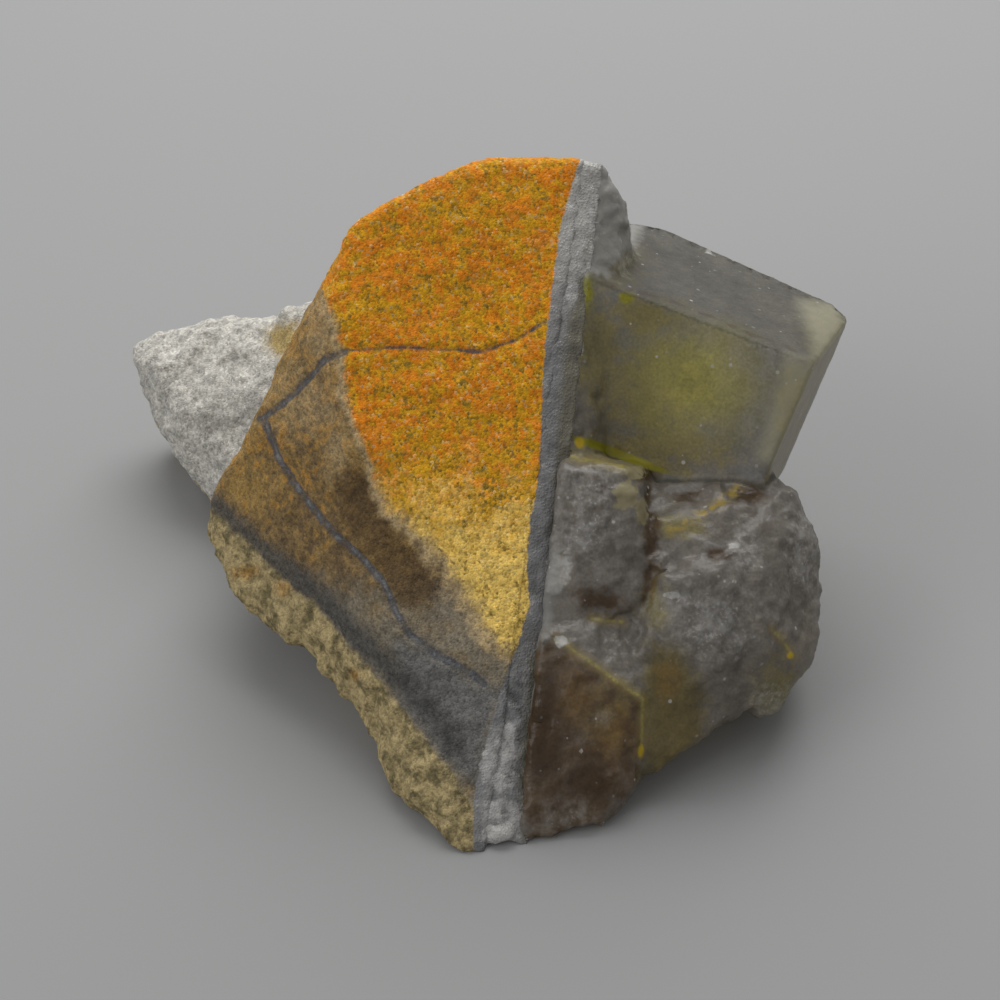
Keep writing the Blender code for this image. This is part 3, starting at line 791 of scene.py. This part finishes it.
def crystal_look(name):
    """Cloudy, see-through fluorite with frosted faces, and the quartz crust that it grew on."""
    look = Look(name)
    clouds = Clouds(
        broad=look.noise(4.0, 2.0, shift=7),
        medium=look.noise(1.4, 3.0, shift=17),
        small=look.noise(0.62, 3.0, shift=37),
        fine=look.noise(0.26, 3.0, shift=27),
    )
    wander = look.blend((1.0, clouds.medium), (0.5, clouds.small), (-0.75, 1.0))
    brown = look.ragged(look.mark("brown"), 0.35, 0.15, 0.8)

    colour = zoned_colour(look, clouds, wander, brown)
    frost = frost_share(look, clouds, wander, brown)
    colour = look.mix(frost, colour, FROST)
    colour = look.shaded(clouds.fine, colour, 0.70, 1.30)
    colour = with_streaks(look, clouds, colour)
    quartz = look.ragged(look.both(look.mark("quartz"), -1.0), 0.7, 0.35, 0.9)
    colour = look.mix(quartz, colour, look.mix(0.5, quartz_colour(look), CRUST))
    colour = with_specks(look, clouds, colour)

    look.feed(look.shader.inputs["Base Color"], colour)
    cloudy = look.math("MAXIMUM", frost, look.math("MAXIMUM", quartz, look.mark("dimmed_top")))
    look.feed(look.shader.inputs["Roughness"], look.ramp(cloudy, 0.0, 1.0, CRYSTAL_ROUGH, FROST_ROUGH))
    look.shader.inputs["Specular IOR Level"].default_value = 0.2
    look.shader.inputs["Transmission Weight"].default_value = CRYSTAL_CLEARNESS
    look.shader.inputs["IOR"].default_value = FLUORITE_IOR
    look.feed(look.shader.inputs["Normal"], look.bump(clouds.fine, 0.03, look.bump(clouds.small, 0.06)))
    absorbed = look.node("ShaderNodeVolumeAbsorption")
    absorbed.inputs["Color"].default_value = (*ABSORBED_COLOUR, 1)
    absorbed.inputs["Density"].default_value = ABSORBED_DENSITY
    look.feed(look.nodes["Material Output"].inputs["Volume"], absorbed.outputs[0])
    return look.material


def mark_rock(skin):
    """Everything that the rock's material reads, for the stone and the band alike."""
    spots = skin.spots
    up = spots[:, 1]
    vein = along(spots, VEIN)[0] - VEIN_WIDTH / 2
    vein = np.minimum(vein, along(spots, BRANCH)[0] - BRANCH_WIDTH / 2)
    vein = np.minimum(vein, along(spots, THREAD)[0] - THREAD_WIDTH / 2)
    marks = {
        "ridge": along(spots, RIDGE)[1] / mixed(fade(6.0, -6.0, up), 0.8, 1.7),
        "low_end": fade(9.0, -12.0, up),
        # painted shade below the ridge
        "shade": skin.in_sight(1.6 - along(spots, PAINTED_SHADE_LINE)[0] / 1.6, -3.0),
        "beige": skin.in_sight(patches(spots, BEIGES), -3.0),
        "low_grey": skin.in_sight(inside(spots, LOW_GREY), -3.0),
        "dark_band": skin.in_sight(along(spots, DARK_BAND)[0] - DARK_WIDTH / 2, 3.0),
        "tan": -along(spots, TAN_EDGE)[1],
        "tan_orange": skin.in_sight(patches(spots, TAN_ORANGES), -3.0),
        "yellow": skin.in_sight(patches(spots, YELLOW_PATCH), -3.0),
        "pale_dark": skin.in_sight(patches(spots, PALE_DARKS), -3.0),
        "white": skin.in_sight(patches(spots, ROCK_WHITE), -3.0),
        "vein": skin.in_sight(vein, 3.0),
        "hidden": 1 - skin.front,
        "broken": np.clip(skin.depth - BROKEN_DEPTH, -4.0, 4.0),
        "quartz": skin.in_sight(along(spots, STAIN_EDGE)[1], wall_side(skin.points, BAND_INNER)[0]),
        "lapped": skin.in_sight(np.minimum(along(spots, BAND_EDGE)[1], -inside(spots, LOBE)), -3.0),
        "height": up,
    }
    for name, values in marks.items():
        skin.mark(name, values)
    return marks


def sandstone():
    """The broken sandstone, grainy in front and rougher where it broke at the back and the left."""
    skin = Skin("sandstone", "sandstone_matrix", STONE_CELL)
    inward = -wall_side(skin.points, BAND_INNER)[0]
    skin.relax(0.5 * fade(0.0, 1.2, inward), 18)
    skin.draw_out(BAND_INNER, 1)
    skin.look()
    marks = mark_rock(skin)
    rough = np.maximum(fade(-1.0, 2.0, marks["broken"]), fade(-0.3, 0.6, marks["tan"]))
    brown = fade(1.0, -1.5, marks["ridge"])
    broad = swells(skin.points, 3.2)
    medium = swells(skin.points, 1.5, 5.0)
    fine = swells(skin.points, 0.7, 9.0)
    shards = 1 - 2 * np.abs(swells(skin.points, 2.4, 3.0))
    steps = (0.10 + 0.08 * brown) * broad + (0.15 + 0.05 * brown) * medium
    steps += (0.14 + 0.04 * rough) * fine
    steps += rough * mixed(fade(0.0, 2.0, marks["broken"]), 1.0, 0.6) * (0.20 * shards + 0.16 * medium)
    steps -= 0.16 * fade(0.18, -0.12, marks["vein"])
    skin.push(steps)
    skin.finish(rock_look("sandstone_look"))


def quartz():
    """The grey quartz band, a crust of small lumps between the stone and the crystals."""
    skin = Skin("quartz", "quartz_band", BAND_CELL)
    inward = np.minimum(wall_side(skin.points, BAND_INNER)[0], -wall_side(skin.points, BAND_OUTER)[0])
    skin.relax(0.5 * fade(0.0, 1.0, inward), 10)
    skin.read_spots()
    low = fade(-13.0, -19.0, skin.spots[:, 1])
    skin.facet(1.7, 0.9 * low * fade(0.2, 1.1, inward), 0.25, 5.0)
    skin.draw_out(BAND_INNER, -1)
    skin.draw_out(BAND_OUTER, 1)
    skin.look()
    marks = mark_rock(skin)
    crust = 0.5 - lumps(skin.points, 1.3)
    steps = 0.12 * crust + (0.08 + 0.05 * low) * swells(skin.points, 0.7, 4.0)
    steps += (0.12 + 0.12 * low * fade(0.2, 1.1, inward)) * swells(skin.points, 1.8, 14.0)
    steps += 0.10 * fade(0.0, 0.5, marks["white"])
    steps -= 0.15 * fade(0.9, 0.0, -wall_side(skin.points, BAND_OUTER)[0])
    skin.push(steps)
    skin.finish(rock_look("quartz_look"))


def in_cube(points):
    """How far inside the big cube's top, front and right faces each point is, in millimetres."""
    left, right, foot, far = (seen(*corner) for corner in (BIG_LEFT, BIG_RIGHT, BIG_FOOT, BIG_FAR))
    deepest = np.full(len(points), 99.0)
    for one, other in ((left, far), (left, foot), (foot, far)):
        normal = np.cross(one - right, other - right)
        normal /= np.linalg.norm(normal)
        if normal @ (left + far + foot - 3 * right) < 0:
            normal = -normal
        deepest = np.minimum(deepest, (points - right) @ normal)
    return deepest


def mark_crystals(skin, cube):
    """Everything that the crystals' material reads. Cube is each point's share in the big cube."""
    spots = skin.spots
    top_faces = skin.facing @ direction(0.30, 0.875, 0.38)
    right_faces = skin.facing @ direction(0.92, -0.38, 0.15)
    painted_light_line = np.min([along(spots, line)[0] for line in PAINTED_LIGHT_LINES], 0)
    crease = along(spots, CREASE)[0]
    quartz_side = np.minimum(along(spots, BAND_EDGE)[1], -inside(spots, LOBE))
    strip = np.maximum(inside(spots, PALE_STRIP), inside(spots, SIDE_STRIP))
    strip = np.maximum(strip, 0.15 - along(spots, CUBE_SIDE_EDGE)[0])
    marks = {
        "cube": cube,
        # the big cube's top faces, which the material darkens as painted shade
        "dimmed_top": cube * fade(0.4, 0.8, top_faces),
        "side": cube * fade(0.55, 0.85, right_faces),
        "brown": skin.in_sight(inside(spots, FRONT_FACE), -3.0),
        "deep": skin.in_sight(inside(spots, OLIVE_FACE), -3.0),
        "far_edge": along(spots, FAR_EDGE)[0] + 9 * (1 - skin.front),
        # the big cube's front top edge, where the material paints a line of shade
        "edge": along(spots, CUBE_TOP_EDGE)[0] + 9 * (1 - skin.front),
        "core": np.linalg.norm(skin.points - seen(*CORE), axis=1),
        "olive": skin.in_sight(patches(spots, OLIVES), 0.1),
        "green": skin.in_sight(patches(spots, GREENS), -3.0),
        # dark patches, and painted shade along the crease
        "dark": skin.in_sight(np.maximum(patches(spots, DARKS), 0.6 - 1.2 * crease), -0.3),
        "frost": skin.in_sight(patches(spots, FROSTS), 0.1),
        "amber": skin.in_sight(patches(spots, AMBERS), -0.5),
        "streak": skin.in_sight(0.35 - along(spots, STREAK)[0], -3.0),
        "painted_light_line": skin.in_sight(0.13 - painted_light_line, -3.0),
        "sliver": skin.in_sight(inside(spots, SLIVER), -3.0),
        "strip": skin.in_sight(strip, -3.0),
        "crumb": skin.in_sight(patches(spots, CRUMBS), -3.0),
        "glow": skin.in_sight(patches(spots, PAINTED_GLOWS), -3.0),
        "white": skin.in_sight(patches(spots, CRYSTAL_WHITE), -3.0),
        "quartz": skin.in_sight(quartz_side, wall_side(skin.points, BAND_OUTER)[0]),
        "height": spots[:, 1],
    }
    for name, values in marks.items():
        skin.mark(name, values)
    return marks


def crystal_steps(skin, cube, inward, marks):
    """The relief: a nearly smooth big cube with a chipped far edge, and broken, sugary crystals."""
    rough = 1 - cube
    clear = fade(-0.2, 0.6, marks["olive"]) * fade(0.6, 0.0, marks["frost"])
    sugar = rough * mixed(clear, 1.0, 0.25)
    fine = swells(skin.points, 0.55, 2.0)
    medium = swells(skin.points, 1.2, 6.0)
    broad = swells(skin.points, 3.0, 8.0)
    shards = 1 - 2 * np.abs(swells(skin.points, 2.2, 12.0))
    pits = fade(0.30, 0.05, lumps(skin.points, 1.5)) * fade(0.1, 0.4, medium)
    cracked = np.round(broad * 5) / 5
    steps = cube * (0.012 * fine + 0.03 * medium - 0.08 * pits)
    steps += sugar * (0.10 * fine + 0.12 * medium + 0.08 * shards)
    steps += rough * (0.08 * cracked + 0.04 * shards - 0.10 * pits)
    chips = fade(0.9, 0.0, marks["far_edge"]) * fade(-0.10, 0.40, swells(skin.points, 0.8, 20.0))
    steps -= 0.35 * chips * cube
    steps -= 0.25 * fade(1.0, 0.0, along(skin.spots, CREASE)[0]) * skin.front * rough
    steps += 0.35 * fade(1.5, 0.0, inward)
    return steps


def fluorite():
    """The cluster of cubes and broken crystals."""
    skin = Skin("fluorite", "fluorite_crystals", CRYSTAL_CELL)
    cube = fade(-0.7, -0.2, in_cube(skin.points))
    inward = wall_side(skin.points, BAND_OUTER)[0]
    give = mixed(cube * fade(2.0, 5.0, inward), 0.5, 0.12) * fade(0.0, 1.2, inward)
    skin.relax(give, 30)
    skin.read_spots()
    calm = fade(-0.2, 0.6, patches(skin.spots, OLIVES + CALM))
    share = (1 - cube) * mixed(calm, 0.85, 0.35) * fade(0.0, 1.0, inward)
    skin.facet(2.3, share, 0.16, 3.0)
    skin.facet(0.9, share * 0.8, 0.12, 8.0)
    skin.relax(0.3 * fade(0.0, 1.0, inward), 2)
    skin.draw_out(BAND_OUTER, -1)
    skin.look()
    marks = mark_crystals(skin, cube)
    skin.push(crystal_steps(skin, cube, inward, marks))
    skin.finish(crystal_look("fluorite_look"), sharp=SHARP_EDGE)


def floor():
    """A plain pale floor under everything."""
    bm = bmesh.new()
    bmesh.ops.create_grid(bm, x_segments=1, y_segments=1, size=FLOOR_REACH)
    mesh = bpy.data.meshes.new("floor")
    bm.to_mesh(mesh)
    bm.free()
    made = bpy.data.objects.new("floor", mesh)
    bpy.context.scene.collection.objects.link(made)
    look = Look("floor_look")
    look.feed(look.shader.inputs["Base Color"], FLOOR_GREY)
    look.shader.inputs["Roughness"].default_value = 0.7
    look.shader.inputs["Specular IOR Level"].default_value = 0.2
    mesh.materials.append(look.material)


def camera():
    """The front view's camera."""
    lens = bpy.data.cameras.new("camera")
    lens.sensor_width = SENSOR
    lens.lens = SENSOR * VIEW_DISTANCE / VIEW_SPAN
    lens.clip_start = 0.01
    made = bpy.data.objects.new("camera", lens)
    axes = Matrix((VIEW_RIGHT, VIEW_UP, -VIEW_AWAY)).transposed().to_4x4()
    made.matrix_world = Matrix.Translation(Vector(eye() * MM)) @ axes
    bpy.context.scene.collection.objects.link(made)
    bpy.context.scene.camera = made


def light():
    """A broad soft lamp above and behind, a weak one at the front left and an even sky."""
    for name, (place, size, power) in LAMPS.items():
        lamp = bpy.data.lights.new(name, "AREA")
        lamp.size = size
        lamp.energy = power
        made = bpy.data.objects.new(name, lamp)
        made.location = place
        made.rotation_euler = (-Vector(place)).to_track_quat("-Z", "Y").to_euler()
        bpy.context.scene.collection.objects.link(made)
    world = bpy.data.worlds.new("sky")
    world.use_nodes = True
    sky = world.node_tree.nodes["Background"]
    sky.inputs["Color"].default_value = (*SKY_GREY, 1)
    sky.inputs["Strength"].default_value = SKY_STRENGTH
    bpy.context.scene.world = world
    bpy.context.scene.view_settings.view_transform = "Standard"


sandstone()
quartz()
fluorite()
floor()
camera()
light()
